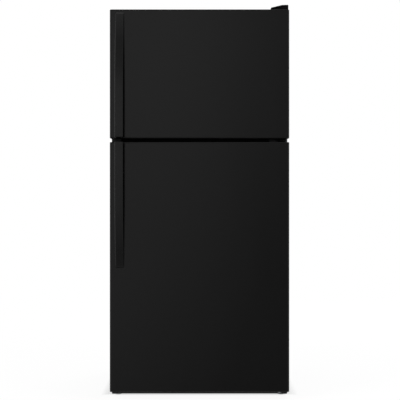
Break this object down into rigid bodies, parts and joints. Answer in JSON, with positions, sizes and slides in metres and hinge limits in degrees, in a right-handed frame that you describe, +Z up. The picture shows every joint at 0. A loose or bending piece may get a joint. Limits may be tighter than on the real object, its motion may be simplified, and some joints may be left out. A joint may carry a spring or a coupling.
{
  "type": "top freezer refrigerator",
  "caption": "Free-standing black refrigerator with a freezer door above a taller fridge door, side bow handles, right-hand hinges, shelves, crispers and door bins.",
  "frame": {"origin": "on the floor, under the middle of the box around the whole appliance with its handles", "axes": "+Z up; +Y from the doors to the back; +X to the right as seen from the front"},
  "size_m": [0.756, 0.769, 1.67],
  "materials": {
    "door_paint": "satin black paint on steel sheet",
    "cabinet_paint": "finely textured black paint",
    "black_plastic": "moulded, satin",
    "liner_plastic": "vacuum formed, soft gloss",
    "white_trim": "moulded, soft gloss",
    "clear_plastic": "clear moulded",
    "shelf_glass": "polished float glass",
    "seal_rubber": "soft extruded seal",
    "insulation_foam": "rigid foam",
    "zinc_steel": "zinc plated",
    "compressor_paint": "black enamel",
    "coil_aluminium": "bare",
    "shelf_wire": "white coated wire",
    "grey_plastic": "moulded"
  },
  "bodies": {
    "cabinet": {"cabinet_shell": "cabinet_paint", "rear_panel": "zinc_steel", "cabinet_foam": "insulation_foam", "freezer_liner": "liner_plastic", "fridge_liner": "liner_plastic", "mullion_rail": "cabinet_paint", "base_frame": "zinc_steel", "base_grille": "black_plastic", "top_hinge": "cabinet_paint", "hinge_cover": "black_plastic", "centre_hinge": "cabinet_paint", "bottom_hinge": "cabinet_paint", "cabinet_screws": "zinc_steel", "compressor": "compressor_paint", "compressor_grommets": "seal_rubber", "condenser_coil": "compressor_paint", "fan_shroud": "black_plastic", "fan_motors": "zinc_steel", "compressor_cover": "black_plastic", "drain_pan": "grey_plastic", "cord_gland": "black_plastic", "evaporator_coil": "coil_aluminium", "evaporator_cover": "liner_plastic", "defrost_heater": "zinc_steel", "control_housing": "white_trim", "light_lens": "clear_plastic", "freezer_shelf": "shelf_wire", "shelf_frames": "white_trim", "shelf_glass": "shelf_glass", "crisper_frame": "white_trim", "air_duct": "liner_plastic"},
    "freezer_door": {"freezer_door_skin": "door_paint", "freezer_door_caps": "black_plastic", "freezer_door_panel": "liner_plastic", "freezer_door_foam": "insulation_foam", "freezer_door_gasket": "seal_rubber", "freezer_door_bins": "clear_plastic", "freezer_handle": "black_plastic"},
    "fridge_door": {"fridge_door_skin": "door_paint", "fridge_door_caps": "black_plastic", "fridge_door_panel": "liner_plastic", "fridge_door_foam": "insulation_foam", "fridge_door_gasket": "seal_rubber", "fridge_door_bins": "clear_plastic", "fridge_handle": "black_plastic"},
    "left_crisper": {"left_crisper": "clear_plastic"},
    "right_crisper": {"right_crisper": "clear_plastic"},
    "left_humidity_slider": {"left_humidity_slider": "white_trim"},
    "right_humidity_slider": {"right_humidity_slider": "white_trim"},
    "fridge_knob": {"fridge_knob": "white_trim"},
    "freezer_knob": {"freezer_knob": "white_trim"},
    "light_switch_button": {"light_switch_button": "white_trim"},
    "evaporator_fan": {"evaporator_fan": "grey_plastic"},
    "condenser_fan": {"condenser_fan": "grey_plastic"},
    "left_roller": {"left_roller": "grey_plastic"},
    "right_roller": {"right_roller": "grey_plastic"},
    "left_leg": {"left_leg": "grey_plastic"},
    "right_leg": {"right_leg": "grey_plastic"},
    "dairy_lid": {"dairy_lid": "clear_plastic"},
    "slide_bin": {"slide_bin": "clear_plastic"}
  },
  "joints": [
    {"name": "freezer_door_hinge", "type": "hinge", "parent": "cabinet", "child": "freezer_door", "pos_m": [0.358, -0.3065, 1.374], "axis": [0, 0, 1], "range_deg": [0, 125]},
    {"name": "fridge_door_hinge", "type": "hinge", "parent": "cabinet", "child": "fridge_door", "pos_m": [0.358, -0.3065, 0.5615], "axis": [0, 0, 1], "range_deg": [0, 125]},
    {"name": "dairy_lid_hinge", "type": "hinge", "parent": "fridge_door", "child": "dairy_lid", "pos_m": [-0.14435, -0.2565, 0.878], "axis": [1, 0, 0], "range_deg": [0, 90]},
    {"name": "slide_bin_slide", "type": "slide", "parent": "fridge_door", "child": "slide_bin", "axis": [1, 0, 0], "range_m": [-0.15, 0.15]},
    {"name": "light_switch_press", "type": "slide", "parent": "cabinet", "child": "light_switch_button", "axis": [0, -1, 0], "range_m": [0, 0.006]},
    {"name": "evaporator_fan_spin", "type": "hinge", "parent": "cabinet", "child": "evaporator_fan", "pos_m": [0, 0.2545, 1.457], "axis": [0, 1, 0], "continuous": true},
    {"name": "condenser_fan_spin", "type": "hinge", "parent": "cabinet", "child": "condenser_fan", "pos_m": [0.0005, 0.28725, 0.13975], "axis": [1, 0, 0], "continuous": true},
    {"name": "left_crisper_slide", "type": "slide", "parent": "cabinet", "child": "left_crisper", "axis": [0, -1, 0], "range_m": [0, 0.16]},
    {"name": "left_humidity_slide", "type": "slide", "parent": "left_crisper", "child": "left_humidity_slider", "axis": [1, 0, 0], "range_m": [-0.02, 0.02]},
    {"name": "left_roller_spin", "type": "hinge", "parent": "cabinet", "child": "left_roller", "pos_m": [-0.355, 0.3235, 0.02], "axis": [1, 0, 0], "continuous": true},
    {"name": "left_leg_screw", "type": "slide", "parent": "cabinet", "child": "left_leg", "axis": [0, 0, -1], "range_m": [0, 0.012]},
    {"name": "right_crisper_slide", "type": "slide", "parent": "cabinet", "child": "right_crisper", "axis": [0, -1, 0], "range_m": [0, 0.16]},
    {"name": "right_humidity_slide", "type": "slide", "parent": "right_crisper", "child": "right_humidity_slider", "axis": [1, 0, 0], "range_m": [-0.02, 0.02]},
    {"name": "right_roller_spin", "type": "hinge", "parent": "cabinet", "child": "right_roller", "pos_m": [0.355, 0.3235, 0.02], "axis": [1, 0, 0], "continuous": true},
    {"name": "right_leg_screw", "type": "slide", "parent": "cabinet", "child": "right_leg", "axis": [0, 0, -1], "range_m": [0, 0.012]},
    {"name": "fridge_knob_turn", "type": "hinge", "parent": "cabinet", "child": "fridge_knob", "pos_m": [-0.07, -0.1045, 1.04], "axis": [0, -1, 0], "range_deg": [-135, 135]},
    {"name": "freezer_knob_turn", "type": "hinge", "parent": "cabinet", "child": "freezer_knob", "pos_m": [0.07, -0.1045, 1.04], "axis": [0, -1, 0], "range_deg": [-135, 135]}
  ],
  "couplings": [
    {"joint": "light_switch_press", "follows": "fridge_door_hinge", "m_per_rad": 0.0027},
    {"joint": "left_crisper_slide", "follows": "fridge_door_hinge", "m_per_rad": 0.0733},
    {"joint": "right_crisper_slide", "follows": "fridge_door_hinge", "m_per_rad": 0.0733}
  ]
}
